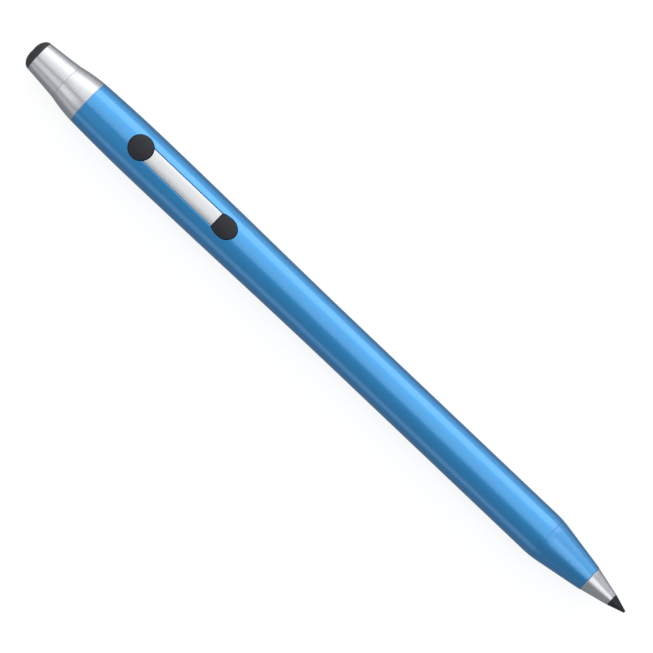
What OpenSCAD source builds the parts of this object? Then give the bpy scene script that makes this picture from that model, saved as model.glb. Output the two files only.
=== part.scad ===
// Slim 3D printing pen: a blue anodised tube with a silver tail, a silver ferrule and a black nozzle.
// A geared motor turns a hobbed screw that pushes 1.75 mm filament from the tail into a ceramic heater.
// Stations, called u, run along the pen's axis from the tail's end (0) to the nozzle's orifice (pen_len).

/* [Outline lengths] */
// Length of the black end cap that shows behind the tail sleeve
cap_len = 2.2; // [1.9:0.1:2.4]
// Length of the silver tail sleeve that shows
sleeve_len = 9; // [8.5:0.1:9.2]
// Length of the silver collar between the sleeve and the barrel
collar_len = 7.1; // [6.8:0.1:7.4]
// Length of the blue barrel
barrel_len = 151.2; // [151:0.2:158]
// Length of the blue nose cone
nose_len = 14; // [13.8:0.1:14.6]
// Length of the silver ferrule that shows
ferrule_len = 7.2; // [7:0.1:7.6]
// Length of the black nozzle tip
tip_len = 4.3; // [4:0.1:5]

/* [Outline diameters] */
// Diameter of the end cap, where it meets the sleeve
cap_d = 8.16; // [7.9:0.02:8.2]
// Diameter at the line between the sleeve and the collar
neck_d = 9.98; // [9.8:0.02:10.1]
// Diameter where the collar meets the barrel
joint_d = 12.04; // [11.9:0.02:12.2]
// Diameter of the barrel's swell, around the buttons
swell_d = 12.8; // [12.5:0.1:13]
// Diameter of the barrel's straight front half, the part that is held
front_d = 11.8; // [11.7:0.05:12]
// Diameter of the nose cone's front edge
nose_front_d = 6.95; // [6.85:0.05:7.05]
// Diameter of the ferrule's front edge and of the nozzle tip's base
ferrule_front_d = 3.3; // [3.1:0.05:3.4]
// Bore of the barrel
bore_d = 10.4; // [10.3:0.05:10.5]

/* [Buttons and inlay] */
// Distance from the barrel's rear edge to the round button's centre
retract_offset = 17.1; // [16.5:0.1:17.5]
// Distance between the two buttons' centres
button_pitch = 27.7; // [27:0.1:28]
// Diameter of the round button
retract_d = 6.24; // [6:0.02:6.3]
// Half length of the oval button, from its centre to its front
feed_front = 3.15; // [3:0.05:3.3]
// Width of the oval button
feed_w = 5.3; // [5.1:0.1:5.5]
// Width of the silver inlay strip
strip_w = 4.05; // [3.8:0.05:4.2]
// Depth of the inlay's face below the barrel's surface
strip_recess = 0.15; // [0.1:0.05:0.2]
// Height of the buttons above the barrel's surface
button_proud = 0.3; // [0.2:0.05:0.4]
// Travel of each button
button_travel = 0.35; // [0.2:0.05:0.35]

/* [Feed] */
// Diameter of the filament inlet's bore, for 1.75 mm filament
inlet_d = 2.1; // [2:0.05:2.2]
// Diameter of the power socket's bore, for a 2.5 mm plug
socket_d = 2.54; // [2.5:0.02:2.6]
// Diameter of the geared motor
motor_d = 6; // [5.8:0.1:6]
// Diameter over the drive screw's thread
screw_d = 3.5; // [3.3:0.05:3.5]
// Pitch of the drive screw's thread
screw_pitch = 1; // [0.8:0.1:1.2]
// Diameter of the nozzle's orifice
orifice_d = 0.4; // [0.4:0.1:0.6]

/* [Hidden] */
$fn = 96;
bead_fn = 40;
blue = [0.16, 0.5, 0.78];
silver = [0.78, 0.78, 0.8];
black = [0.16, 0.16, 0.17];
dark_plastic = [0.25, 0.25, 0.27];
steel = [0.68, 0.68, 0.7];
brass = [0.8, 0.65, 0.36];
ceramic = [0.88, 0.86, 0.8];
ptfe = [0.93, 0.93, 0.9];

// Clearances: between pieces that are fixed together, and round each button
gap = 0.02;
button_gap = 0.12;

// Stations of the outer pieces
u_sleeve = cap_len;
u_collar = u_sleeve + sleeve_len;
u_barrel = u_collar + collar_len;
u_nose = u_barrel + barrel_len;
u_ferrule = u_nose + nose_len;
u_tip = u_ferrule + ferrule_len;
pen_len = u_tip + tip_len;
axis_h = swell_d / 2;

// Outline of the barrel and the nose cone
swell_u = u_barrel + 17.7;
straight_u = u_barrel + 87.2;
shoulder_u = u_nose - 2.3;
nose_angle = 9.7;
cone_at_shoulder = nose_front_d / 2 + tan(nose_angle) * (u_ferrule - shoulder_u);
shoulder_r = (cone_at_shoulder - front_d / 2) / (tan(nose_angle) * sin(nose_angle) - 1 + cos(nose_angle));
shoulder_end_u = shoulder_u + shoulder_r * sin(nose_angle);
bore_r = bore_d / 2;

// Tail
cap_corner = 3.2;
bush_u = 0.5;
cap_plug_r = 3.25;
cap_plug_end = u_sleeve + 3.9;
sleeve_bore_r = 3.3;
thread_r = 3.82;
thread_gap = 0.05;
collar_bore_r = 3.35;
collar_end = u_barrel + 6.2;
inlet_z = -1.55;
bush_r = 1.35;
socket_z = 1.65;
jack_r = 1.5;
jack_end = cap_plug_end + 9;
holder_end = collar_end + 1.5;

// Buttons: u of each centre, and the heights of their stacks above the axis
retract_u = u_barrel + retract_offset;
feed_u = retract_u + button_pitch;
feed_cut = 2.6;
feed_rear = 4.27;
strip_end_u = feed_u - feed_cut - button_gap;
strip_floor_r = 5.7;
pocket_half = strip_w / 2 + 0.05;
peg_r = 0.5;
peg_us = [retract_u + 7, strip_end_u - 5];
flange_z = [3.22, 3.7];
flange_grow = 0.35;
retract_r = retract_d / 2;
button_wall = 0.8;
stem_r = 0.95;
hollow_z = [flange_z[0] - 1, 5.1];

// Circuit board and its tray
pcb_u = [u_barrel + 9.2, u_barrel + 66.2];
pcb_half_w = 4.3;
pcb_z = [0.9, 1.7];
tray_r = bore_r - 0.1;
rib_us = [for (i = [0:3]) pcb_u[0] + 8 + 15 * i];
screw_spots = [[pcb_u[0] + 3, 2.9], [pcb_u[1] - 2.5, -2.9]];
switch_half = 1.7;
switch_top = pcb_z[1] + 1.1;
plunger_r = 0.8;
plug_ys = [-0.6, 1.8];

// Motor and shaft
shaft_z = 2.1;
motor_r = motor_d / 2;
motor_u = pcb_u[1] + 3;
can_end = motor_u + 10;
gearbox_end = can_end + 13;
cradle_u = [motor_u + 1, gearbox_end - 2];
output_end = gearbox_end + 4.6;
coupling_u = [gearbox_end + 2, gearbox_end + 7.5];
output_r = 0.75;
screw_shaft_r = 0.7;

// Drive block
frame_u = [gearbox_end + 16, gearbox_end + 36];
frame_wall = [2.5, 3.5];
window_half = 2.9;
window_u = [frame_u[0] + frame_wall[0], frame_u[1] - frame_wall[1]];
floor_u = window_u[1] - 4.3;
floor_z = -4.5;
nip_z = -0.45;
bearing_r = 1.1;
screw_u = [window_u[0] + 2, window_u[0] + 12];
screw_depth = 0.35;
arm_pin_at = [window_u[0] + 2.5, -2.9];
roller_at = [window_u[0] + 7.5, -2.75];
roller_r = 1.6;
spring_u = window_u[0] + 11.5;
spring_top = -2.9;

// Guide tubes
tube_r = 1.2;
tube_bore_r = 1;
rear_low_z = -2.2;
rear_tube_u = [cap_plug_end + 0.1, frame_u[0] + 2];
front_tube_u = [frame_u[1] - 2.5, u_nose - 10.5];

// Hot end
plug_u = [u_nose - 14.5, u_nose - 8.5];
break_u = [u_nose - 12.5, u_nose + 9.5];
break_r = 1.45;
spigot_u = u_nose - 6;
spigot_r = bore_r - gap;
spigot_bore_r = 4.4;
nose_tip_bore_r = 2.62;
heater_u = [u_nose + 1, u_nose + 15];
heater_r = 2;
mica_r = 2.17;
bead_at = [u_nose + 7, 2.64];
bead_r = 0.45;
lead_y = 4.5;
lead_notch = [[3.95, 6], [-1.4, 1.1]];

// ---- Outline functions ----

// Smooth step from 0 to 1
function ease(t) = let (c = min(1, max(0, t))) c * c * (3 - 2 * c);

// Radius that runs from r0 to r1 with a slight bow
function bowed(r0, r1, bow, t) = r0 + (r1 - r0) * (t + bow * t * (1 - t));

// Radius of the barrel's outside: a sine up to the swell, then a cosine down to the straight front
function barrel_r(u) =
    u < swell_u
        ? joint_d / 2 + (swell_d - joint_d) / 2 * sin(90 * (u - u_barrel) / (swell_u - u_barrel))
        : u < straight_u
            ? front_d / 2 + (swell_d - front_d) / 4 * (1 + cos(180 * (u - swell_u) / (straight_u - swell_u)))
            : front_d / 2;

// Radius of the shoulder's arc and of the cone in front of it
function nose_r(u) =
    u < shoulder_end_u
        ? front_d / 2 - shoulder_r + sqrt(pow(shoulder_r, 2) - pow(max(0, u - shoulder_u), 2))
        : nose_front_d / 2 + tan(nose_angle) * (u_ferrule - u);

function along(u0, u1, steps) = [for (i = [0:steps]) u0 + (u1 - u0) * i / steps];

// ---- Shape helpers, in the pen's own axis frame ----

module in_place() translate([-pen_len / 2, 0, axis_h]) children();

// Solid of revolution about the pen's axis; each point is [radius, u]
module turned(points) rotate([0, 90, 0]) rotate_extrude() polygon(points);

module rod(u0, u1, r, y = 0, z = 0) translate([u0, y, z]) rotate([0, 90, 0]) cylinder(h = u1 - u0, r = r);

module pipe(u0, u1, r, bore, y = 0, z = 0)
    difference() {
        rod(u0, u1, r, y, z);
        rod(u0 - 1, u1 + 1, bore, y, z);
    }

module block(us, ys, zs)
    translate([us[0], ys[0], zs[0]]) cube([us[1] - us[0], ys[1] - ys[0], zs[1] - zs[0]]);

// Flat contact, 0.2 mm thick, that runs along the pen
module tag(us, y, width, z) block(us, [y - width / 2, y + width / 2], [z - 0.1, z + 0.1]);

module post(u, y, zs, r) translate([u, y, zs[0]]) cylinder(h = zs[1] - zs[0], r = r);

module cross_rod(at, ys, r)
    translate([at[0], ys[0], at[1]]) rotate([-90, 0, 0]) cylinder(h = ys[1] - ys[0], r = r);

// Lead that follows path, a list of [u, y, z], with a ring in the plane across the pen at each point
module lead(path, r, sides = 8) {
    n = len(path);
    points = [for (p = path) for (i = [0:sides - 1])
        [p[0], p[1] + r * cos(360 * i / sides), p[2] + r * sin(360 * i / sides)]];
    walls = [for (k = [0:n - 2]) for (i = [0:sides - 1])
        let (j = (i + 1) % sides)
        [k * sides + i, k * sides + j, (k + 1) * sides + j, (k + 1) * sides + i]];
    start = [[for (i = [sides - 1:-1:0]) i]];
    end = [[for (i = [0:sides - 1]) (n - 1) * sides + i]];
    polyhedron(points, concat(walls, start, end));
}

// Hollow tube that follows a path in the pen's middle plane; each point is [u, z]
module guide_tube(path, r, bore, sides = 16) {
    n = len(path);
    ring = function (radius) [for (p = path) for (i = [0:sides - 1])
        [p[0], radius * cos(360 * i / sides), p[1] + radius * sin(360 * i / sides)]];
    inner = n * sides;
    outside = [for (k = [0:n - 2]) for (i = [0:sides - 1])
        let (j = (i + 1) % sides)
        [k * sides + i, k * sides + j, (k + 1) * sides + j, (k + 1) * sides + i]];
    inside = [for (f = outside) [inner + f[0], inner + f[3], inner + f[2], inner + f[1]]];
    ends = [for (i = [0:sides - 1])
        let (j = (i + 1) % sides, last = (n - 1) * sides)
        for (f = [[i, inner + i, inner + j, j],
            [last + i, last + j, inner + last + j, inner + last + i]]) f];
    polyhedron(concat(ring(r), ring(bore)), concat(outside, inside, ends));
}

// Coil spring standing on z0, with its axis vertical
module coil(at, zs, mean_r, wire_r, turns, steps = 20, sides = 6) {
    n = turns * steps;
    rise = (zs[1] - zs[0] - 2 * wire_r) / n;
    points = [for (k = [0:n]) for (i = [0:sides - 1])
        let (a = 360 * k / steps, b = 360 * i / sides, reach = mean_r + wire_r * cos(b))
        [at[0] + reach * cos(a), at[1] + reach * sin(a), zs[0] + wire_r + rise * k + wire_r * sin(b)]];
    walls = [for (k = [0:n - 1]) for (i = [0:sides - 1])
        let (j = (i + 1) % sides)
        [k * sides + i, (k + 1) * sides + i, (k + 1) * sides + j, k * sides + j]];
    start = [[for (i = [0:sides - 1]) i]];
    end = [[for (i = [sides - 1:-1:0]) n * sides + i]];
    polyhedron(points, concat(walls, start, end));
}

// ---- Button outlines ----

// Oval whose rear is cut straight by the inlay; grow widens it all round
function oval(grow) = let (b = feed_w / 2 + grow, cut = feed_cut + grow, n = 8) concat(
    [for (a = [-90:6:90]) [(feed_front + grow) * cos(a), b * sin(a)]],
    [for (i = [1:n]) [-cut * i / n, b * sqrt(1 - pow(cut * i / n / (feed_rear + grow), 2))]],
    [for (i = [n:-1:1]) [-cut * i / n, -b * sqrt(1 - pow(cut * i / n / (feed_rear + grow), 2))]]);

module round_prism(grow, zs) post(retract_u, 0, zs, retract_r + grow);

module oval_prism(grow, zs) translate([feed_u, 0, zs[0]]) linear_extrude(zs[1] - zs[0]) polygon(oval(grow));

// Solid of revolution that follows the barrel's outside, offset by rise, around a stretch of it
module barrel_skin(us, rise, floor_r = 0)
    turned(concat(
        [[floor_r, us[0]]],
        [for (u = along(us[0], us[1], 6)) [barrel_r(u) + rise, u]],
        [[floor_r, us[1]]]));

// ---- Outer pieces ----

module barrel() color(blue) difference() {
    turned(concat(
        [for (u = along(u_barrel, swell_u, 6)) [barrel_r(u), u]],
        [for (i = [1:16]) let (u = swell_u + (straight_u - swell_u) * i / 16) [barrel_r(u), u]],
        [for (u = along(shoulder_u, u_nose, 4)) [nose_r(u), u]],
        [[bore_r, u_nose], [bore_r, u_barrel]]));
    round_prism(button_gap, [0, axis_h + 1]);
    oval_prism(button_gap, [0, axis_h + 1]);
    difference() {
        block([retract_u, strip_end_u + button_gap / 2], [-pocket_half, pocket_half], [0, axis_h + 1]);
        rod(retract_u - 1, strip_end_u + 1, strip_floor_r);
    }
    for (u = peg_us) post(u, 0, [0, axis_h], peg_r + gap);
}

module nose_cone() color(blue) turned(concat(
    [[spigot_bore_r, spigot_u], [spigot_r, spigot_u], [spigot_r, u_nose]],
    [for (u = along(u_nose, shoulder_end_u, 4)) [nose_r(u), u]],
    [[nose_front_d / 2, u_ferrule], [nose_tip_bore_r, u_ferrule], [spigot_bore_r, u_nose]]));

module ferrule() color(silver) turned([
    [2.25, u_ferrule - 2.4], [nose_tip_bore_r - gap, u_ferrule - 2.4], [nose_tip_bore_r - gap, u_ferrule],
    [nose_front_d / 2 - 0.1, u_ferrule], [ferrule_front_d / 2, u_tip], [1.34, u_tip],
    [1.34, u_tip - 1], [2.25, u_tip - 5.8]]);

// Ceramic-coated brass nozzle: its stem sits in the heater and its cone shows in front of the ferrule
module nozzle() color(black) turned([
    [tube_bore_r, break_u[1] + gap], [break_r, break_u[1] + gap], [break_r, heater_u[1] + 1.5],
    [1.3, heater_u[1] + 1.9], [1.3, u_tip], [ferrule_front_d / 2, u_tip],
    [orifice_d / 2 + 0.08, pen_len], [orifice_d / 2, pen_len], [orifice_d / 2, pen_len - 1.4],
    [tube_bore_r, pen_len - 5.4]]);

module tail_collar() color(silver) turned(concat(
    [[collar_bore_r, cap_plug_end + 0.3], [thread_r, cap_plug_end + 0.3], [thread_r, u_collar]],
    [for (t = along(0, 1, 8)) [bowed(neck_d / 2, joint_d / 2, 0.6, t), u_collar + collar_len * t]],
    [[spigot_r, u_barrel], [spigot_r, collar_end], [collar_bore_r, collar_end]]));

module tail_sleeve() color(silver) turned(concat(
    [for (t = along(0, 1, 8)) [bowed(cap_d / 2, neck_d / 2, -0.1, t), u_sleeve + sleeve_len * t]],
    [[thread_r + thread_gap, u_collar], [thread_r + thread_gap, cap_plug_end + 0.2],
     [sleeve_bore_r, cap_plug_end + 0.2], [sleeve_bore_r, u_sleeve]]));

module end_cap() color(black) difference() {
    turned(concat(
        [[0, 0]],
        [for (a = [0:10:90]) [cap_d / 2 - cap_corner * (1 - sin(a)), cap_len * (1 - cos(a))]],
        [[cap_plug_r, u_sleeve], [cap_plug_r, cap_plug_end], [0, cap_plug_end]]));
    rod(-1, cap_plug_end + 1, bush_r + gap, 0, inlet_z);
    rod(-1, cap_plug_end + 1, socket_d / 2, 0, socket_z);
}

// Each button is a hollow cap with a flange that keeps it in and a stem that presses its switch
module retract_button() color(black) difference() {
    union() {
        intersection() {
            round_prism(0, [flange_z[0], axis_h + 1]);
            barrel_skin([retract_u - 4, retract_u + 4], button_proud);
        }
        round_prism(flange_grow, flange_z);
    }
    difference() {
        round_prism(-button_wall, hollow_z);
        post(retract_u, 0, hollow_z, stem_r);
    }
}

module feed_button() color(black) difference() {
    union() {
        intersection() {
            oval_prism(0, [flange_z[0], axis_h + 1]);
            barrel_skin([feed_u - 4, feed_u + 4], button_proud);
        }
        oval_prism(flange_grow, flange_z);
    }
    difference() {
        oval_prism(-button_wall, hollow_z);
        post(feed_u, 0, hollow_z, stem_r);
    }
}

module inlay_strip() color(silver) {
    difference() {
        intersection() {
            block([retract_u, strip_end_u], [-strip_w / 2, strip_w / 2], [0, axis_h + 1]);
            barrel_skin([retract_u - 1, strip_end_u + 1], -strip_recess, strip_floor_r + gap);
        }
        round_prism(button_gap, [0, axis_h + 1]);
    }
    for (u = peg_us) post(u, 0, [bore_r + 0.1, strip_floor_r + 0.2], peg_r);
}

// ---- Tail pieces ----

module inlet_bush() color([0.72, 0.7, 0.66]) translate([0, 0, inlet_z]) turned([
    [inlet_d / 2, bush_u], [bush_r, bush_u], [bush_r, cap_plug_end], [inlet_d / 2, cap_plug_end]]);

module jack_body() color(black) translate([0, 0, socket_z]) turned([
    [socket_d / 2, cap_plug_end + 0.05], [jack_r, cap_plug_end + 0.05], [jack_r, jack_end],
    [0, jack_end], [0, jack_end - 1.4], [socket_d / 2, jack_end - 1.4]]);

module jack_contacts() color(brass)
    for (y = [-0.9, 0, 0.9]) tag([jack_end, jack_end + 2.2], y, 0.5, socket_z);

module jack_holder() color(dark_plastic) difference() {
    turned([
        [0, cap_plug_end + 0.1], [sleeve_bore_r, cap_plug_end + 0.1], [sleeve_bore_r, collar_end + 0.05],
        [tray_r, collar_end + 0.05], [tray_r, holder_end], [0, holder_end]]);
    rod(0, jack_end + 0.2, jack_r + gap, 0, socket_z);
    rod(jack_end, holder_end + 1, jack_r - 0.05, 0, socket_z);
    rod(0, holder_end + 1, tube_r + 0.05, 0, inlet_z);
}

module power_leads() color([0.7, 0.1, 0.1]) for (side = [-1, 1]) lead([
    [jack_end + 2.25, side * 0.9, socket_z], [jack_end + 5, side, 1.75], [holder_end + 0.3, side, 1.9],
    [pcb_u[0], side * 1.6, 2.2], [pcb_u[0] + 1.6, side * 1.9, 2.05]], 0.3);

// ---- Board ----

module pcb_tray() color(dark_plastic) difference() {
    union() {
        difference() {
            intersection() {
                rod(holder_end + 0.1, cradle_u[0] - 0.05, tray_r);
                block([0, pcb_u[1]], [-6, 6], [-6, pcb_z[0] - gap]);
            }
            block([0, pcb_u[1] + 1], [-3.7, 3.7], [-3.9, 2]);
        }
        intersection() {
            rod(pcb_u[1] - 1, cradle_u[0] - 0.05, tray_r);
            block([pcb_u[1] - 1, cradle_u[0]], [-6, 6], [-6, -3.9]);
        }
        intersection() {
            rod(holder_end + 0.1, cradle_u[0], tray_r);
            union() {
                for (u = rib_us) block([u - 0.75, u + 0.75], [-3.75, 3.75], [-6, tube_z(u)]);
                for (s = screw_spots) post(s[0], s[1], [-6, pcb_z[0] - gap], 1.15);
            }
        }
    }
    for (u = rib_us) rod(u - 1, u + 1, tube_r + 0.06, 0, tube_z(u));
    for (s = screw_spots) post(s[0], s[1], [-2.4, 2], 0.57);
}

module pcb() color([0.08, 0.3, 0.18]) difference() {
    block(pcb_u, [-pcb_half_w, pcb_half_w], pcb_z);
    for (s = screw_spots) post(s[0], s[1], [0, 3], 0.62);
}

module pcb_screws() color(steel) for (s = screw_spots) difference() {
    union() {
        post(s[0], s[1], [pcb_z[1], pcb_z[1] + 0.65], 1.1);
        post(s[0], s[1], [-2.3, pcb_z[1] + 0.1], 0.55);
    }
    for (a = [0, 90]) translate([s[0], s[1], pcb_z[1] + 0.3]) rotate([0, 0, a])
        translate([-0.7, -0.12, 0]) cube([1.4, 0.24, 1]);
}

module on_board(u, y, size) block([u - size[0] / 2, u + size[0] / 2], [y - size[1] / 2, y + size[1] / 2],
    [pcb_z[1], pcb_z[1] + size[2]]);

module controller_chip() color(black) on_board(retract_u + 11.5, 0, [5, 5, 0.9]);

module power_transistors() color(black) for (y = [-2, 2]) {
    on_board(feed_u + 8, y, [3, 1.7, 1]);
    for (side = [-1, 1]) on_board(feed_u + 8 + side * 0.9, y, [0.5, 2.6, 0.3]);
}

module inductor() color(dark_plastic) {
    post(retract_u + 19, 0, [pcb_z[1], pcb_z[1] + 0.5], 2);
    post(retract_u + 19, 0, [pcb_z[1] + 0.4, pcb_z[1] + 1.6], 1.4);
    post(retract_u + 19, 0, [pcb_z[1] + 1.5, pcb_z[1] + 2], 2);
}

module passives() color([0.5, 0.42, 0.34]) {
    for (i = [0:3]) for (y = [-3.4, 3.4]) on_board(retract_u + 8 + 3 * i, y, [1.6, 0.8, 0.6]);
    for (i = [-1:1]) on_board(feed_u + 4.5, 1.6 * i, [0.8, 1.2, 0.6]);
}

module wire_connector() color([0.85, 0.83, 0.76]) let (z = pcb_z[1]) difference() {
    block([pcb_u[1] - 6.5, pcb_u[1] - 3.9], [-1.4, 2.6], [z, z + 2]);
    for (y = plug_ys) block([pcb_u[1] - 4.9, pcb_u[1] - 3], [y - 0.5, y + 0.5], [z + 0.5, z + 1.5]);
}

module switch_at(u) color(black) difference() {
    union() {
        block([u - switch_half, u + switch_half], [-switch_half, switch_half], [pcb_z[1], switch_top]);
        for (y = [-1.1, 1.1]) block([u - 2.3, u + 2.3], [y - 0.3, y + 0.3], [pcb_z[1], pcb_z[1] + 0.2]);
    }
    post(u, 0, [pcb_z[1] + 0.2, switch_top + 1], plunger_r + 0.05);
}

module plunger_at(u) color([0.75, 0.72, 0.66]) post(u, 0, [switch_top - 0.5, flange_z[0] - gap], plunger_r);

module feed_switch() switch_at(feed_u);
module retract_switch() switch_at(retract_u);
module feed_plunger() plunger_at(feed_u);
module retract_plunger() plunger_at(retract_u);

// ---- Filament guides ----

// Height of the filament's centre line above the pen's axis, from the inlet to the heat break
function tube_z(u) = inlet_z
    + (rear_low_z - inlet_z) * ease((u - holder_end - 1) / 34)
    + (nip_z - rear_low_z) * ease((u - gearbox_end) / (frame_u[0] - gearbox_end))
    - nip_z * ease((u - frame_u[1]) / (break_u[0] - frame_u[1]));

module rear_guide_tube() color(ptfe)
    guide_tube([for (u = along(rear_tube_u[0], rear_tube_u[1], 40)) [u, tube_z(u)]], tube_r, tube_bore_r);

module front_guide_tube() color(ptfe)
    guide_tube([for (u = along(front_tube_u[0], front_tube_u[1], 10)) [u, tube_z(u)]], tube_r, tube_bore_r);

// ---- Motor ----

module motor_end_cap() color(black) rod(motor_u - 1.5, motor_u, motor_r - 0.1, 0, shaft_z);
module motor_can() color(steel) rod(motor_u, can_end, motor_r, 0, shaft_z);

module gearbox() color(steel) difference() {
    union() {
        rod(can_end, gearbox_end, motor_r, 0, shaft_z);
        rod(gearbox_end, gearbox_end + 0.8, 1.3, 0, shaft_z);
    }
    rod(gearbox_end - 3, gearbox_end + 1, output_r + 0.03, 0, shaft_z);
}

module motor_terminals() color(brass)
    for (y = [-1.2, 1.2]) tag([motor_u - 2.8, motor_u - 1.5], y, 0.8, shaft_z);

module motor_leads() color([0.1, 0.1, 0.12]) for (y = plug_ys) lead([
    [pcb_u[1] - 4.85, y, pcb_z[1] + 1], [pcb_u[1] - 3.4, y, pcb_z[1] + 1],
    [pcb_u[1] - 1.6, (y + sign(y) * 1.2) / 2, pcb_z[1] + 1],
    [motor_u - 2.4, sign(y) * 1.2, shaft_z + 0.36], [motor_u - 1.6, sign(y) * 1.2, shaft_z + 0.36]], 0.25);

module lead_notches(us) for (side = [0, 1]) mirror([0, side, 0]) block(us, lead_notch[0], lead_notch[1]);

module motor_cradle() color(dark_plastic) difference() {
    rod(cradle_u[0], cradle_u[1], tray_r);
    rod(0, gearbox_end + 1, motor_r + 0.03, 0, shaft_z);
    rod(0, gearbox_end + 1, tube_r + 0.08, 0, rear_low_z);
    block([0, gearbox_end], [-0.8, 0.8], [rear_low_z, 1]);
    block([0, gearbox_end], [-6, 6], [shaft_z + 1, 6]);
    lead_notches([0, gearbox_end]);
    tie_rod_holes();
}

module output_shaft() color(steel) rod(gearbox_end - 2.9, output_end, output_r, 0, shaft_z);

module shaft_coupling() color(brass) difference() {
    rod(coupling_u[0], coupling_u[1], 1.5, 0, shaft_z);
    rod(0, output_end + 0.1, output_r + gap, 0, shaft_z);
    rod(output_end, coupling_u[1] + 1, screw_shaft_r + gap, 0, shaft_z);
    for (u = [coupling_u[0] + 1.2, coupling_u[1] - 1.2]) post(u, 0, [shaft_z, shaft_z + 2], 0.37);
}

module coupling_screws() color(dark_plastic) for (u = [coupling_u[0] + 1.2, coupling_u[1] - 1.2])
    post(u, 0, [shaft_z + output_r + gap, shaft_z + 1.45], 0.35);

module tie_rods() color(steel)
    for (side = [-1, 1]) rod(cradle_u[0] + 13, frame_u[0] + 1.9, 0.5, side * 3.9, 1.9);

module tie_rod_holes() for (side = [-1, 1]) rod(cradle_u[0] + 12.9, frame_u[0] + 2, 0.52, side * 3.9, 1.9);

// ---- Drive block ----

module drive_frame() color(dark_plastic) difference() {
    rod(frame_u[0], frame_u[1], tray_r);
    block([window_u[0], floor_u], [-window_half, window_half], [-6, 6]);
    block([floor_u - 1, window_u[1]], [-window_half, window_half], [floor_z, 6]);
    rod(0, pen_len, bearing_r + gap, 0, shaft_z);
    rod(frame_u[0] - 1, rear_tube_u[1] + gap, tube_r + 0.06, 0, nip_z);
    rod(0, pen_len, tube_bore_r, 0, nip_z);
    rod(front_tube_u[0] - gap, frame_u[1] + 1, tube_r + 0.06, 0, nip_z);
    lead_notches([frame_u[0] - 1, frame_u[1] + 1]);
    cross_rod(arm_pin_at, [-6, 6], 0.52);
    tie_rod_holes();
}

module rear_bearing() color(brass)
    pipe(frame_u[0] - 0.4, window_u[0] - 0.1, bearing_r, screw_shaft_r + 0.03, 0, shaft_z);
module front_bearing() color(brass)
    pipe(window_u[1] + 0.1, frame_u[1] - 0.5, bearing_r, screw_shaft_r + 0.03, 0, shaft_z);
module screw_shaft() color(steel) rod(output_end + 0.15, frame_u[1] - 0.6, screw_shaft_r, 0, shaft_z);

// Radius of the hobbed thread at turn t, counted in pitches: a V with a flat root and crest
function thread_height(t) =
    let (w = abs(2 * (t - floor(t)) - 1)) screw_depth * min(1, max(0, (w - 0.2) / 0.6));

module drive_screw() color(steel) {
    turns_steps = 8;
    sides = 32;
    rings = round((screw_u[1] - screw_u[0]) / screw_pitch) * turns_steps;
    bore = (screw_shaft_r + gap) / cos(180 / sides);
    us = along(screw_u[0], screw_u[1], rings);
    root_r = screw_d / 2 - screw_depth;
    outer = [for (u = us) for (i = [0:sides - 1])
        let (a = 360 * i / sides, r = root_r + thread_height((u - screw_u[0]) / screw_pitch - i / sides))
        [u, r * cos(a), shaft_z + r * sin(a)]];
    inner = [for (u = [us[0], us[rings]]) for (i = [0:sides - 1])
        [u, bore * cos(360 * i / sides), shaft_z + bore * sin(360 * i / sides)]];
    base = (rings + 1) * sides;
    last = rings * sides;
    polyhedron(concat(outer, inner), [for (i = [0:sides - 1]) let (j = (i + 1) % sides) each concat(
        [for (k = [0:rings - 1]) [k * sides + i, k * sides + j, (k + 1) * sides + j, (k + 1) * sides + i]],
        [[base + i, base + sides + i, base + sides + j, base + j],
         [i, base + i, base + j, j],
         [last + i, last + j, base + sides + j, base + sides + i]])]);
}

module pressure_arm() color(steel) difference() {
    union() {
        for (side = [0, 1]) mirror([0, side, 0]) {
            block([arm_pin_at[0], spring_u + 1.5], [1.35, 2.5], [-3.4, -2.3]);
            cross_rod(arm_pin_at, [1.35, 2.5], 1.1);
        }
        block([spring_u - 1.6, spring_u + 1.5], [-2.5, 2.5], [spring_top, -1.9]);
    }
    cross_rod(arm_pin_at, [-6, 6], 0.53);
    cross_rod(roller_at, [-6, 6], 0.41);
}

module arm_pin() color(steel) cross_rod(arm_pin_at, [-3.8, 3.8], 0.5);
module roller_pin() color(steel) cross_rod(roller_at, [-2.5, 2.5], 0.4);

module pressure_roller() color(steel) translate([roller_at[0], 0, roller_at[1]]) rotate([-90, 0, 0])
    rotate_extrude() polygon([[0.45, -1.2], [roller_r - 0.15, -1.2], [roller_r, -1.05], [roller_r, -0.5],
        [roller_r - 0.2, 0], [roller_r, 0.5], [roller_r, 1.05], [roller_r - 0.15, 1.2], [0.45, 1.2]]);

module arm_spring() color(steel) coil([spring_u, 0], [floor_z + gap, spring_top - gap], 0.8, 0.09, 3);

// ---- Hot end ----

module insulator_plug() color([0.78, 0.7, 0.56]) difference() {
    rod(plug_u[0], plug_u[1], bore_r - 0.05);
    rod(plug_u[0] - 1, break_u[0] + 1, tube_r + 0.35);
    rod(plug_u[0] - 1, plug_u[1] + 1, break_r + gap);
    for (side = [0, 1]) mirror([0, side, 0]) block([0, pen_len], [3.6, 6], [-1.1, 1.1]);
}

module heat_break() color(steel) turned([
    [tube_r + 0.05, break_u[0]], [break_r, break_u[0]], [break_r, plug_u[1]], [2.4, plug_u[1]],
    [2.4, plug_u[1] + 0.8], [break_r, plug_u[1] + 0.8], [break_r, break_u[1]],
    [tube_bore_r, break_u[1]], [tube_bore_r, front_tube_u[1] + 0.1],
    [tube_r + 0.05, front_tube_u[1] + 0.1]]);

module heater_core() color(ceramic) pipe(heater_u[0], heater_u[1], heater_r, break_r + gap);
module heater_sleeve() color([0.75, 0.68, 0.5])
    pipe(heater_u[0] + 0.5, heater_u[1] - 0.1, mica_r, heater_r + gap);
module nose_insulator() color(ceramic) pipe(u_nose + 9.2, u_nose + 10.7, 2.95, mica_r + gap);

module thermistor() color([0.75, 0.35, 0.2])
    translate([bead_at[0], 0, bead_at[1]]) sphere(r = bead_r, $fn = bead_fn);

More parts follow.
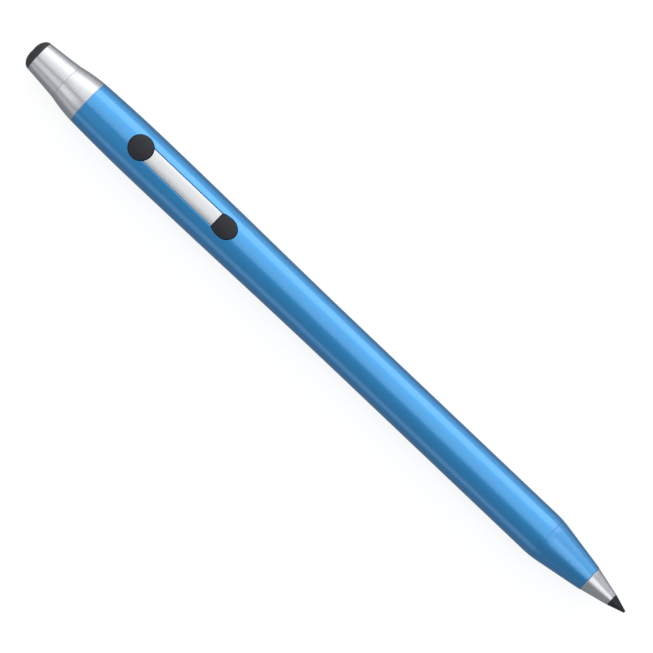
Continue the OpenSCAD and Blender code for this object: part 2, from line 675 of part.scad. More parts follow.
// Leads that run from the board's front edge, through the cradle and the drive frame, to the hot end
module heater_leads() color([0.9, 0.88, 0.8]) for (side = [-1, 1]) lead([
    [pcb_u[1] - 1.2, side * 3.2, 2.02],
    [pcb_u[1] + 0.2, side * 3.35, 1.95],
    [pcb_u[1] + 1.4, side * 3.75, 1.05],
    [cradle_u[0] - 0.4, side * 4.35, -0.1],
    [cradle_u[0] + 2, side * lead_y, -0.6],
    [frame_u[1], side * lead_y, -0.6],
    [plug_u[0], side * 4.3, -0.5],
    [plug_u[1], side * 4, -0.45],
    [spigot_u + 1, side * 3.6, -0.35],
    [heater_u[0] - 3, side * 2.9, -0.15],
    [heater_u[0] - 1, side * 2, 0],
    [heater_u[0] - gap, side * 1.74, 0]], 0.25);

module thermistor_leads() color([0.2, 0.25, 0.6]) for (side = [-1, 1]) lead([
    [pcb_u[1] - 1.2, side * 3.98, 1.92],
    [pcb_u[1] + 0.2, side * 4.02, 1.85],
    [pcb_u[1] + 1.4, side * 4.3, 1.5],
    [cradle_u[0] - 0.4, side * lead_y, 0.9],
    [cradle_u[0] + 2, side * lead_y, 0.5],
    [frame_u[1], side * lead_y, 0.5],
    [plug_u[0], side * 4.3, 0.45],
    [plug_u[1], side * 4, 0.6],
    [spigot_u + 1, side * 3.3, 1.3],
    [heater_u[0] - 1, side * 1.9, 2.5],
    [bead_at[0] - 3, side * 0.6, 2.66],
    [bead_at[0] - 0.47, side * 0.22, bead_at[1]]], 0.15);

in_place() {
    barrel();
    nose_cone();
    ferrule();
    nozzle();
    tail_collar();
    tail_sleeve();
    end_cap();
    feed_button();
    retract_button();
    inlay_strip();
    inlet_bush();
    jack_body();
    jack_contacts();
    jack_holder();
    power_leads();
    pcb_tray();
    pcb();
    pcb_screws();
    controller_chip();
    power_transistors();
    inductor();
    passives();
    wire_connector();
    feed_switch();
    retract_switch();
    feed_plunger();
    retract_plunger();
    rear_guide_tube();
    motor_end_cap();
    motor_can();
    gearbox();
    motor_terminals();
    motor_leads();
    motor_cradle();
    output_shaft();
    shaft_coupling();
    coupling_screws();
    tie_rods();
    drive_frame();
    rear_bearing();
    front_bearing();
    screw_shaft();
    drive_screw();
    pressure_arm();
    arm_pin();
    pressure_roller();
    roller_pin();
    arm_spring();
    front_guide_tube();
    insulator_plug();
    heat_break();
    heater_core();
    heater_sleeve();
    heater_leads();
    thermistor();
    thermistor_leads();
    nose_insulator();
}
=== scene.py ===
import bmesh
import bpy
import numpy as np
from mathutils import Matrix, Vector


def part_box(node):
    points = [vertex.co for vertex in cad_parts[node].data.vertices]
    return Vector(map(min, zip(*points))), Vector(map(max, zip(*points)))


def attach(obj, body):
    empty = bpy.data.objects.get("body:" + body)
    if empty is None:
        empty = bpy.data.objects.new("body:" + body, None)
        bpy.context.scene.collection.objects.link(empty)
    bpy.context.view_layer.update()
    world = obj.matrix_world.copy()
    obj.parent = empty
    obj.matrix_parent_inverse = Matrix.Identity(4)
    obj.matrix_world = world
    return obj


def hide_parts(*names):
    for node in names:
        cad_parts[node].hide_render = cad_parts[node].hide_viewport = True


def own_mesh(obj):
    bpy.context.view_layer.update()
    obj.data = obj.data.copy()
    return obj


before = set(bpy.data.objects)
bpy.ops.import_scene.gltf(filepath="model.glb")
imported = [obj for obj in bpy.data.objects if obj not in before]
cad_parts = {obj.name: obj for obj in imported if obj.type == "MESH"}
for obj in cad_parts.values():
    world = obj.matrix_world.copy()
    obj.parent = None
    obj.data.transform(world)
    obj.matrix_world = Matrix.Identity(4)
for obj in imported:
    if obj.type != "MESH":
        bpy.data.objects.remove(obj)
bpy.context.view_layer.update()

# ---- Barrel ----
# The barrel is one drawn aluminium tube, swelled round the buttons and straight where it is held.
# It is milled for the two buttons and the inlay, bead blasted, and anodised blue.

MM = 0.001
tail_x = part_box("end_cap")[0].x
axis_z = sum(corner.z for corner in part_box("tail_sleeve")) / 2


def span(node):
    """Where a CAD node starts and ends along the pen, in mm from the tail's end."""
    low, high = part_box(node)
    return (low.x - tail_x) / MM, (high.x - tail_x) / MM


def quads(points, rows_closed=False, columns_closed=False):
    """A grid of points and its faces. Each point joins the next row and the next column, and in a
    closed direction the last line also joins the first."""
    rows, columns = points.shape[:2]
    i = np.arange(rows if rows_closed else rows - 1)[:, None]
    j = np.arange(columns if columns_closed else columns - 1)[None]
    below, beside = (i + 1) % rows, (j + 1) % columns
    corners = [i * columns + j, below * columns + j, below * columns + beside, i * columns + beside]
    return points.reshape(-1, 3), np.stack(corners, axis=-1).reshape(-1, 4)


def piece(name, skins, finish, stands_for, body="body"):
    """One object from several skins. Points go from mm on the pen's axis into the frame, points that
    meet are joined, faces point outwards, and edges sharper than 35 degrees stay crisp."""
    first = np.cumsum([0] + [len(points) for points, _ in skins])
    points = np.concatenate([points for points, _ in skins]) * MM + (tail_x, 0, axis_z)
    faces = np.concatenate([faces + start for (_, faces), start in zip(skins, first)])
    mesh = bpy.data.meshes.new(name)
    mesh.from_pydata(points, [], faces.tolist())
    work = bmesh.new()
    work.from_mesh(mesh)
    bmesh.ops.remove_doubles(work, verts=work.verts, dist=0.001 * MM)
    bmesh.ops.recalc_face_normals(work, faces=work.faces)
    work.to_mesh(mesh)
    work.free()
    mesh.shade_smooth()
    mesh.set_sharp_from_angle(angle=np.radians(35))
    mesh.materials.append(finish)
    made = bpy.data.objects.new(name, mesh)
    bpy.context.scene.collection.objects.link(made)
    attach(made, body)
    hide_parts(*stands_for)
    return made


def outline(*corners):
    """Closed section from rows of (station, radius, fillet). A corner with a fillet becomes an arc
    tangent to both of its sides, with one more point past each end of it to hold the sides flat."""
    rows = np.array(corners, float)
    corner, fillet = rows[:, :2], rows[:, 2]
    sides = [np.roll(corner, step, axis=0) - corner for step in (1, -1)]
    back, ahead = [side / np.linalg.norm(side, axis=1)[:, None] for side in sides]
    half = np.arccos(np.clip((back * ahead).sum(1), -1, 1)) / 2
    reach = (fillet / np.tan(half))[:, None]
    bisector = back + ahead
    bisector = bisector / np.maximum(np.linalg.norm(bisector, axis=1), 1e-9)[:, None]
    centre = corner + bisector * (fillet / np.sin(half))[:, None]
    start, end = corner + back * reach - centre, corner + ahead * reach - centre
    sweep = np.maximum(np.pi - 2 * half, 1e-6)[:, None, None]
    t = np.linspace(0, 1, 5)[None, :, None]
    arc = (np.sin((1 - t) * sweep) * start[:, None] + np.sin(t * sweep) * end[:, None]) / np.sin(sweep)
    hold = reach + 0.4 * fillet[:, None]
    curve = np.concatenate([(corner + back * hold)[:, None], centre[:, None] + arc,
                            (corner + ahead * hold)[:, None]], axis=1)
    kept = (fillet[:, None] > 0) | (np.arange(curve.shape[1]) == 0)
    return curve[kept]


TURN = np.radians(np.arange(0, 360, 3))


def turned(section, height=0, turn=TURN):
    """A section carried round an axis along the pen: station u and radius r at angle a, counted from
    the top, become (u, r sin a, height + r cos a)."""
    u, r = section.T[..., None]
    return np.stack(np.broadcast_arrays(u, r * np.sin(turn), height + r * np.cos(turn)), axis=-1)


def smooth_rows(curve, stations):
    """Rows of (station, radius, no fillet) along a curved stretch of an outline."""
    return np.stack([stations, curve(stations), 0 * stations], axis=1)


barrel_rear, barrel_front = span("barrel")
ferrule_u = span("nose_cone")[1]
swell_u, straight_u, shoulder_u = barrel_rear + 17.7, barrel_rear + 87.2, barrel_front - 2.3
JOINT_R, SWELL_R, FRONT_R, BORE_R = 6.02, 6.4, 5.9, 5.2
NOSE_FRONT_R = 3.475
NOSE_SLOPE = np.radians(9.7)
cone_gap = NOSE_FRONT_R + np.tan(NOSE_SLOPE) * (ferrule_u - shoulder_u) - FRONT_R
shoulder_r = cone_gap / (np.tan(NOSE_SLOPE) * np.sin(NOSE_SLOPE) - 1 + np.cos(NOSE_SLOPE))
SEAM_FILLET = 0.07


def barrel_radius(u):
    """Quarter of a sine from the rear edge up to the swell, half a cosine down to the straight front,
    then a circular arc over the shoulder."""
    to_swell = np.clip((u - barrel_rear) / (swell_u - barrel_rear), 0, 1)
    to_straight = np.clip((u - swell_u) / (straight_u - swell_u), 0, 1)
    rise = (SWELL_R - JOINT_R) * np.sin(np.pi / 2 * to_swell)
    drop = (SWELL_R - FRONT_R) / 2 * (1 - np.cos(np.pi * to_straight))
    over = shoulder_r - np.sqrt(shoulder_r ** 2 - np.clip(u - shoulder_u, 0, None) ** 2)
    return JOINT_R + rise - drop - over


# The opening that is milled through the top: round, then straight beside the inlay, then oval
retract_u, feed_u = [sum(span(node)) / 2 for node in ("retract_plunger", "feed_plunger")]
RETRACT_R, BUTTON_GAP = 3.12, 0.12
FEED_FRONT, FEED_HALF, FEED_REAR, FEED_CUT = 3.15, 2.65, 4.27, 2.6
STRIP_HALF, STRIP_GAP = 2.0, 0.075
STRIP_FLOOR_R = 5.7
RIM, STRIP_RIM, STRIP_DROP = 0.07, 0.3, 0.16
ARC_SIDES, STRIP_SIDES, END_SIDES = 24, 17, 16
WINDOW_HALF = 16


def oval(grow):
    """Half outline of the oval button, from its cut rear to its front: the end of a long half ellipse
    behind its centre, and a short half ellipse before it, both moved out by grow."""
    rear = np.linspace(-(FEED_CUT + grow), 0, 9)[:-1]
    turn = np.linspace(np.pi / 2, 0, END_SIDES + 1)
    along = np.concatenate([rear, (FEED_FRONT + grow) * np.cos(turn)])
    across = np.concatenate([np.sqrt(1 - (rear / (FEED_REAR + grow)) ** 2), np.sin(turn)])
    return np.stack([feed_u + along, (FEED_HALF + grow) * across], axis=1)


def opening(rims):
    """Half outline of the opening, from its rear tip to its front tip, moved out by this many widths of
    its rim: an arc round the round button, a straight side along the inlay, then the oval."""
    reach, side = RETRACT_R + BUTTON_GAP + rims * RIM, STRIP_HALF + STRIP_GAP + rims * STRIP_RIM
    turn = np.linspace(0, np.pi - np.arcsin(side / reach), ARC_SIDES + 1)
    arc = np.stack([retract_u - reach * np.cos(turn), reach * np.sin(turn)], axis=1)
    curve = oval(BUTTON_GAP + rims * RIM)
    run = np.linspace(arc[-1, 0], curve[0, 0], STRIP_SIDES + 1)[1:]
    return np.concatenate([arc, np.stack([run, np.full(STRIP_SIDES, side)], axis=1), curve])


def both_sides(half):
    """A half outline that starts and ends on the middle line, followed by its mirror image back."""
    return np.concatenate([half, half[-2:0:-1] * (1, -1)])


def on_tube(plan, radius):
    """Points of a plan (station, side) stood on a tube of this radius round the pen's axis."""
    return np.concatenate([plan, np.sqrt(radius ** 2 - plan[..., 1] ** 2)[..., None]], axis=-1)


# Stations of the window's long sides are spaced as the opening's own side is
side_outline = opening(0)[END_SIDES:-END_SIDES]
side_run = np.concatenate([[0], np.cumsum(np.linalg.norm(np.diff(side_outline, axis=0), axis=1))])
window_rear, window_front = retract_u - RETRACT_R - 1.5, feed_u + FEED_FRONT + 1.5
window_us = window_rear + (window_front - window_rear) * side_run / side_run[-1]


def window_border(radius):
    """Half border of the window on a tube: up the rear edge, along the side, and down the front edge."""
    turn = TURN[:WINDOW_HALF + 1]
    us = np.concatenate([np.full(WINDOW_HALF, window_us[0]), window_us, np.full(WINDOW_HALF, window_us[-1])])
    angle = np.concatenate([turn[:-1], np.full(len(window_us), turn[-1]), turn[-2::-1]])
    return np.stack([us, radius(us) * np.sin(angle)], axis=1)


def bore(u):
    """The bore has one radius all along."""
    return np.full(np.shape(u), BORE_R)


def window_frame(radius, edge):
    """Rings that go evenly from the window's border to an outline round the opening."""
    t = np.linspace(0, 1, 7)[:, None, None]
    plan = (1 - t) * both_sides(window_border(radius)) + t * both_sides(edge)
    return on_tube(plan, radius(plan[..., 0]))


def barrel_skins():
    """The barrel's walls: turned front and rear ends, the tube beside the window, and rings in the
    window that roll over the opening's edge and go straight down to the bore."""
    rear = outline((window_rear, BORE_R, 0), (barrel_rear, BORE_R, 0.15), (barrel_rear, JOINT_R, SEAM_FILLET),
                   *smooth_rows(barrel_radius, np.linspace(barrel_rear + 1, window_rear, 12)))
    front_us = np.concatenate([np.linspace(window_front, straight_u, 20),
                               np.linspace(straight_u + 4, shoulder_u, 9),
                               np.linspace(shoulder_u + 0.6, barrel_front - 0.3, 5)])
    front = outline(*smooth_rows(barrel_radius, front_us),
                    (barrel_front, barrel_radius(barrel_front), SEAM_FILLET), (barrel_front, BORE_R, 0.15),
                    (window_front, BORE_R, 0))
    beside = [turned(np.stack([window_us, radius(window_us)], axis=1), turn=TURN[WINDOW_HALF:1 - WINDOW_HALF])
              for radius in (barrel_radius, bore)]
    roll = np.radians([0, 22.5, 45, 67.5, 90])
    edge = [both_sides(opening(1 - np.sin(a))) for a in roll]
    drop = np.full(len(opening(0)), RIM)
    drop[ARC_SIDES:ARC_SIDES + STRIP_SIDES + 2] = STRIP_DROP
    drop = np.concatenate([drop, drop[-2:0:-1]])
    over = [np.insert(e, 2, on_tube(e, barrel_radius(e[:, 0]))[:, 2] - drop * (1 - np.cos(a)), axis=1)
            for e, a in zip(edge, roll)]
    mouth = both_sides(opening(0))
    wall = [over[-1] - (0, 0, 0.5 * RIM), on_tube(mouth, STRIP_FLOOR_R)]
    top = np.concatenate([window_frame(barrel_radius, opening(1.5)), np.array(over + wall)])
    across = np.linspace(1, -1, 9)[:, None] * (STRIP_HALF + STRIP_GAP)
    floor_rear = retract_u + np.sqrt((RETRACT_R + BUTTON_GAP) ** 2 - across ** 2)
    floor_us = floor_rear + (oval(BUTTON_GAP)[0, 0] - floor_rear) * np.linspace(0, 1, STRIP_SIDES + 1)
    floor = np.stack([floor_us, np.broadcast_to(across, floor_us.shape)], axis=-1)
    arc, curve = opening(0)[:ARC_SIDES + 1], opening(0)[ARC_SIDES + STRIP_SIDES:]
    holes = [np.concatenate([arc, floor[1:-1, 0], arc[:0:-1] * (1, -1)]),
             np.concatenate([curve[::-1], floor[1:-1, -1] * (1, -1), curve[:-1] * (1, -1)])]
    return [quads(turned(rear), columns_closed=True), quads(turned(front), columns_closed=True),
            quads(beside[0]), quads(beside[1]), quads(top, columns_closed=True),
            quads(window_frame(bore, opening(0)), columns_closed=True),
            quads(on_tube(floor, STRIP_FLOOR_R)), quads(on_tube(floor, BORE_R)),
            *[quads(np.array([on_tube(hole, STRIP_FLOOR_R), on_tube(hole, BORE_R)]), columns_closed=True)
              for hole in holes]]


def add(tree, kind, inputs=(), **settings):
    """Adds a node to a material. An input is a plain value, or another node's output to link."""
    node = tree.nodes.new(kind)
    for name, value in settings.items():
        setattr(node, name, value)
    for name, value in dict(inputs).items():
        if isinstance(value, bpy.types.NodeSocket):
            tree.links.new(value, node.inputs[name])
        else:
            node.inputs[name].default_value = value
    return node


def grained(name, tones, roughness, grain, relief, stretch=(1, 1, 1), shader=()):
    """A finish whose colour, roughness and relief follow one fine grain, grain mm across and relief
    micrometres deep, drawn out by stretch. Returns the material, its tree, its shader and the grain."""
    finish = bpy.data.materials.new(name)
    finish.use_nodes = True
    tree = finish.node_tree
    tree.nodes.clear()
    place = add(tree, "ShaderNodeTexCoord")
    turn = add(tree, "ShaderNodeMapping", {"Vector": place.outputs["Object"], "Scale": stretch})
    speck = add(tree, "ShaderNodeTexNoise", {"Vector": turn.outputs[0], "Scale": 1 / (grain * MM),
                                             "Detail": 3.0, "Roughness": 0.6})
    tone = add(tree, "ShaderNodeValToRGB", {"Fac": speck.outputs["Fac"]})
    stops = tone.color_ramp.elements
    stops[0].position, stops[1].position = 0.3, 0.7
    stops[0].color, stops[1].color = (*tones[0], 1), (*tones[1], 1)
    rough = add(tree, "ShaderNodeMapRange", {"Value": speck.outputs["Fac"], "From Min": 0.3, "From Max": 0.7,
                                             "To Min": roughness[0], "To Max": roughness[1]})
    bump = add(tree, "ShaderNodeBump", {"Height": speck.outputs["Fac"], "Strength": 1.0,
                                        "Distance": relief * 1e-6})
    skin = add(tree, "ShaderNodeBsdfPrincipled",
               {"Base Color": tone.outputs[0], "Roughness": rough.outputs[0], "Normal": bump.outputs[0],
                **dict(shader)})
    result = add(tree, "ShaderNodeOutputMaterial", {"Surface": skin.outputs[0]})
    result.location = (600, 0)
    return finish, tree, skin, speck


def dress(finish, *nodes):
    """Gives CAD nodes that keep their own shape this finish."""
    for node in nodes:
        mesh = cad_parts[node].data
        mesh.materials.clear()
        mesh.materials.append(finish)


def rim_wear(tree, skin, stations, bare):
    """Thins the dye within a third of a millimetre of the rims at these stations, in patches."""
    place = add(tree, "ShaderNodeTexCoord")
    along = add(tree, "ShaderNodeSeparateXYZ", {0: place.outputs["Object"]})
    near = None
    for station in stations:
        away = add(tree, "ShaderNodeMath", {0: along.outputs["X"], 1: tail_x + station * MM},
                   operation="SUBTRACT")
        gap = add(tree, "ShaderNodeMath", {0: away.outputs[0]}, operation="ABSOLUTE")
        near = gap if near is None else add(
            tree, "ShaderNodeMath", {0: near.outputs[0], 1: gap.outputs[0]}, operation="MINIMUM")
    patch = add(tree, "ShaderNodeTexNoise",
                {"Vector": place.outputs["Object"], "Scale": 900.0, "Detail": 4.0})
    reach = add(tree, "ShaderNodeMath", {0: patch.outputs["Fac"], 1: 0.35 * MM}, operation="MULTIPLY")
    share = add(tree, "ShaderNodeMapRange", {"Value": near.outputs[0], "From Min": 0.0,
                                             "From Max": reach.outputs[0], "To Min": 0.6, "To Max": 0.0})
    dyed = skin.inputs["Base Color"].links[0].from_socket
    worn = add(tree, "ShaderNodeMix", {"Factor": share.outputs[0]}, data_type="RGBA")
    tree.links.new(dyed, worn.inputs[6])
    worn.inputs[7].default_value = (*bare, 1)
    tree.links.new(worn.outputs[2], skin.inputs["Base Color"])


BLUE_DYE = ((0.008, 0.42, 0.95), (0.012, 0.46, 1.0))
RUBBED_BLUE = (0.12, 0.45, 0.85)
ANODISED = {"Metallic": 1.0, "Coat Weight": 1.0, "Coat Roughness": 0.2, "Coat IOR": 2.1}
anodised_blue, blue_tree, blue_skin, _ = grained("anodised_blue", BLUE_DYE, (0.44, 0.50), 0.09, 0.5,
                                                 shader=ANODISED)
rim_wear(blue_tree, blue_skin, (barrel_rear, barrel_front, ferrule_u), RUBBED_BLUE)
piece("barrel_shell", barrel_skins(), anodised_blue, ["barrel"])

# ---- Nose cone ----
# The nose cone is turned from the same aluminium as the barrel and anodised with it, so they match.
# Its spigot is a press fit in the barrel's bore, and a fine seam shows where the two meet.

spigot_rear = span("nose_cone")[0]
SPIGOT_R, SPIGOT_BORE_R, TIP_BORE_R = 5.18, 4.4, 2.62
shoulder_end = shoulder_u + shoulder_r * np.sin(NOSE_SLOPE)


def nose_radius(u):
    """The shoulder's circular arc, then a cone."""
    arc = FRONT_R - shoulder_r + np.sqrt(shoulder_r ** 2 - (u - shoulder_u) ** 2)
    return np.where(u < shoulder_end, arc, NOSE_FRONT_R + np.tan(NOSE_SLOPE) * (ferrule_u - u))


nose_us = np.concatenate([np.linspace(barrel_front + 0.4, shoulder_end, 6),
                          np.linspace(shoulder_end + 2, ferrule_u - 2, 5)])
nose_section = outline(
    (spigot_rear, SPIGOT_BORE_R, 0.1), (spigot_rear, SPIGOT_R, 0.2), (barrel_front, SPIGOT_R, 0),
    (barrel_front, nose_radius(barrel_front), SEAM_FILLET), *smooth_rows(nose_radius, nose_us),
    (ferrule_u, NOSE_FRONT_R, 0.12), (ferrule_u, TIP_BORE_R, 0.08), (barrel_front, SPIGOT_BORE_R, 0))
piece("nose_cone_shell", [quads(turned(nose_section), True, True)], anodised_blue,
      ["nose_cone"])

# ---- Ferrule ----
# The ferrule is a thin silver cone, turned from aluminium and clear anodised.
# Its short collar sits in the nose cone, and the nozzle's neck passes through it with a fine gap.

tip_u = span("ferrule")[1]
FERRULE_FRONT_R, FERRULE_BORE_R, FERRULE_TIP_BORE_R = 1.65, 2.25, 1.34
ferrule_rear, ferrule_seat, ferrule_seat_r = ferrule_u - 2.4, ferrule_u + 0.01, TIP_BORE_R - 0.02
ferrule_section = outline(
    (ferrule_rear, FERRULE_BORE_R, 0), (ferrule_rear, ferrule_seat_r, 0.1), (ferrule_seat, ferrule_seat_r, 0),
    (ferrule_seat, NOSE_FRONT_R - 0.1, 0.12), (tip_u, FERRULE_FRONT_R, 0.08),
    (tip_u, FERRULE_TIP_BORE_R, 0.03), (tip_u - 1, FERRULE_TIP_BORE_R, 0), (tip_u - 5.8, FERRULE_BORE_R, 0))
METAL = {"Metallic": 1.0}
satin_silver, *_ = grained("satin_silver", ((0.85, 0.85, 0.86), (0.92, 0.92, 0.93)), (0.31, 0.37), 0.22, 0.35,
                           stretch=(1, 0.04, 0.04), shader=METAL)
piece("ferrule_cone", [quads(turned(ferrule_section), True, True)], satin_silver, ["ferrule"])

# ---- Nozzle ----
# The nozzle is turned brass with a black ceramic coating, and only its pointed tip shows.
# Its stem sits in the heater, and the molten filament leaves by the orifice in its flat end.

nozzle_rear, pen_end = span("nozzle")
STEM_R, NECK_R, NOZZLE_BORE_R, ORIFICE_R = 1.45, 1.3, 1.0, 0.2
heater_front = span("heater_core")[1]
nozzle_section = outline(
    (nozzle_rear, NOZZLE_BORE_R, 0), (nozzle_rear, STEM_R, 0.1), (heater_front + 1.5, STEM_R, 0),
    (heater_front + 1.9, NECK_R, 0), (tip_u, NECK_R, 0), (tip_u, FERRULE_FRONT_R, 0.1),
    (pen_end, ORIFICE_R + 0.08, 0.05), (pen_end, ORIFICE_R, 0.02), (pen_end - 1.4, ORIFICE_R, 0),
    (pen_end - 5.4, NOZZLE_BORE_R, 0))
nozzle_black, *_ = grained("nozzle_black", ((0.014, 0.016, 0.021), (0.025, 0.028, 0.036)), (0.42, 0.55),
                           0.12, 1.5)
piece("nozzle_tip", [quads(turned(nozzle_section), True, True)], nozzle_black, ["nozzle"])

# ---- Tail collar and tail sleeve ----
# Two turned aluminium rings, clear anodised, continue the barrel's taper to the tail.
# The collar's spigot is pressed into the barrel, and the sleeve screws onto the collar.

collar_rear, collar_front = span("tail_collar")
sleeve_rear, sleeve_front = span("tail_sleeve")
plug_end = span("end_cap")[1]
CAP_R, NECK_RADIUS = 4.08, 4.99
COLLAR_BORE_R, THREAD_R, SLEEVE_BORE_R = 3.35, 3.82, 3.3


def bowed(start, end, start_r, end_r, bow):
    """Radius along a line from start_r to end_r, bowed out or in: at share t of the way it has gone
    t + bow t (1 - t) of the difference."""
    def radius(u):
        """The bowed line's radius at station u."""
        t = (u - start) / (end - start)
        return start_r + (end_r - start_r) * (t + bow * t * (1 - t))
    return radius


collar_radius = bowed(sleeve_front, barrel_rear, NECK_RADIUS, JOINT_R, 0.6)
sleeve_radius = bowed(sleeve_rear, sleeve_front, CAP_R, NECK_RADIUS, -0.1)
collar_section = outline(
    (collar_rear, COLLAR_BORE_R, 0.1), (collar_rear, THREAD_R, 0.1), (sleeve_front, THREAD_R, 0),
    (sleeve_front, NECK_RADIUS, SEAM_FILLET),
    *smooth_rows(collar_radius, np.linspace(sleeve_front + 0.5, barrel_rear - 0.5, 9)),
    (barrel_rear, JOINT_R, SEAM_FILLET), (barrel_rear, SPIGOT_R, 0), (collar_front, SPIGOT_R, 0.2),
    (collar_front, COLLAR_BORE_R, 0.1))
sleeve_section = outline(
    (sleeve_rear, SLEEVE_BORE_R, 0.08), (sleeve_rear, CAP_R, SEAM_FILLET),
    *smooth_rows(sleeve_radius, np.linspace(sleeve_rear + 0.5, sleeve_front - 0.5, 10)),
    (sleeve_front, NECK_RADIUS, SEAM_FILLET), (sleeve_front, THREAD_R + 0.05, 0.05),
    (plug_end + 0.2, THREAD_R + 0.05, 0), (plug_end + 0.2, SLEEVE_BORE_R, 0))
piece("tail_collar_ring", [quads(turned(collar_section), True, True)], satin_silver,
      ["tail_collar"])
piece("tail_sleeve_ring", [quads(turned(sleeve_section), True, True)], satin_silver,
      ["tail_sleeve"])

# ---- End cap and filament bush ----
# The end cap is moulded in black plastic with a spark-eroded texture, and its plug snaps into the sleeve.
# It has two round holes: the power socket's, and below it the filament inlet, lined with a steel bush.

CAP_CORNER, CAP_PLUG_R = 3.2, 3.25
HOLE_EDGE, HOLE_WALL_U = 0.12, 1.5
BUSH_R, INLET_R, SOCKET_R = 1.35, 1.05, 1.27
inlet_z, socket_z = [(sum(corner.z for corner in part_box(node)) / 2 - axis_z) / MM
                     for node in ("inlet_bush", "jack_body")]
FLAT_R = CAP_R - CAP_CORNER


def unrolled(plan):
    """Moves plan points (side, height) out along their own directions, so that the domed end of the cap
    lies flat: beyond the flat middle, a radius becomes the ellipse's angle times its half width."""
    radius = np.maximum(np.linalg.norm(plan, axis=-1), 1e-9)
    arc = CAP_CORNER * np.arcsin(np.clip((radius - FLAT_R) / CAP_CORNER, 0, 1))
    return plan * (np.where(radius > FLAT_R, FLAT_R + arc, radius) / radius)[..., None]


def on_cap(plan):
    """Rolls unrolled plan points back over the dome, a quarter of an ellipse from the flat middle to the
    rim, as (station, side, height)."""
    length = np.maximum(np.linalg.norm(plan, axis=-1), 1e-9)
    turn = np.clip((length - FLAT_R) / CAP_CORNER, 0, np.pi / 2)
    radius = np.where(length > FLAT_R, FLAT_R + CAP_CORNER * np.sin(turn), length)
    station = sleeve_rear * (1 - np.cos(turn))
    return np.concatenate([station[..., None], plan * (radius / length)[..., None]], axis=-1)


def half_rim(radius, sign):
    """Outline of the upper or lower half of a disc, as (side, height): its half circle, then its
    straight edge."""
    turn = TURN[:61] - np.pi / 2
    circle = radius * np.stack([np.sin(turn), sign * np.cos(turn)], axis=1)
    chord = np.stack([np.linspace(radius, -radius, 31)[1:-1], np.zeros(29)], axis=1)
    return np.concatenate([circle, chord])


def pierced_half(sign, hole_z, hole_r):
    """Half of the cap, with the round hole that pierces it: the outer face from the rim to the hole's
    rounded edge, the hole's wall, and the flat inner face."""
    rim, back = half_rim(CAP_R, sign), half_rim(CAP_PLUG_R, sign)
    centre = np.array([0, hole_z])
    ray = rim - centre
    ray = ray / np.linalg.norm(ray, axis=1)[:, None]
    t = np.linspace(0, 1, 9)[:, None, None]
    face = on_cap((1 - t) * unrolled(rim) + t * unrolled(centre + (hole_r + HOLE_EDGE) * ray))
    roll = np.radians([30, 60, 90])[:, None, None]
    lip = on_cap(unrolled(centre + (hole_r + HOLE_EDGE * (1 - np.sin(roll))) * ray))
    lip = lip + np.concatenate([HOLE_EDGE * (1 - np.cos(roll)), 0 * roll, 0 * roll], axis=-1)
    hole = centre + hole_r * ray
    wall = np.array([np.insert(hole, 0, u, axis=1) for u in (HOLE_WALL_U, plug_end)])
    inner = np.insert((1 - t) * hole + t * back, 0, plug_end, axis=-1)
    return [quads(np.concatenate([face, lip, wall]), columns_closed=True), quads(inner, columns_closed=True)]


side_section = outline((sleeve_rear, CAP_R, 0), (sleeve_rear, CAP_PLUG_R, 0), (plug_end, CAP_PLUG_R, 0))
cap_skins = [quads(turned(side_section), columns_closed=True),
             *pierced_half(1, socket_z, SOCKET_R), *pierced_half(-1, inlet_z, BUSH_R + 0.02)]
black_plastic, *_ = grained("black_plastic", ((0.040, 0.041, 0.043), (0.056, 0.057, 0.060)), (0.45, 0.58),
                            0.16, 3.0)
piece("end_cap_moulding", cap_skins, black_plastic, ["end_cap"])
bush_rear = span("inlet_bush")[0]
bush_section = outline((bush_rear, INLET_R, 0.12), (bush_rear, BUSH_R, 0.05), (plug_end, BUSH_R, 0),
                       (plug_end, INLET_R, 0.1))
polished_steel, *_ = grained("polished_steel", ((0.56, 0.56, 0.58), (0.66, 0.66, 0.67)), (0.14, 0.22),
                             0.3, 0.2, stretch=(1, 0.05, 0.05), shader=METAL)
piece("filament_bush", [quads(turned(bush_section, inlet_z), True, True)], polished_steel,
      ["inlet_bush"])

# ---- Buttons ----
# Each button is a hollow cap moulded in black plastic, with a flange inside the barrel that keeps it in.
# The round one pulls the filament back and the oval one feeds it; a stem on each presses a switch.

BUTTON_PROUD, BUTTON_DOME, BUTTON_FILLET = 0.3, 0.05, 0.22
FLANGE_LOW, FLANGE_HIGH, FLANGE_GROW = 3.22, 3.7, 0.35
BUTTON_WALL, HOLLOW_TOP, BUTTON_STEM_R = 0.8, 5.1, 0.95


def round_edge(grow):
    """Outline of the round button, moved out by grow."""
    turn = np.radians(np.arange(0, 360, 5))
    reach = RETRACT_R + grow
    return np.stack([retract_u + reach * np.cos(turn), reach * np.sin(turn)], axis=1)


def oval_edge(grow):
    """Outline of the oval button, moved out by grow: both halves of the oval, joined by the cut."""
    half = oval(grow)
    cut = half[0] * np.stack([np.ones(7), np.linspace(-1, 1, 9)[1:-1]], axis=1)
    return np.concatenate([both_sides(half), [half[0] * (1, -1)], cut])


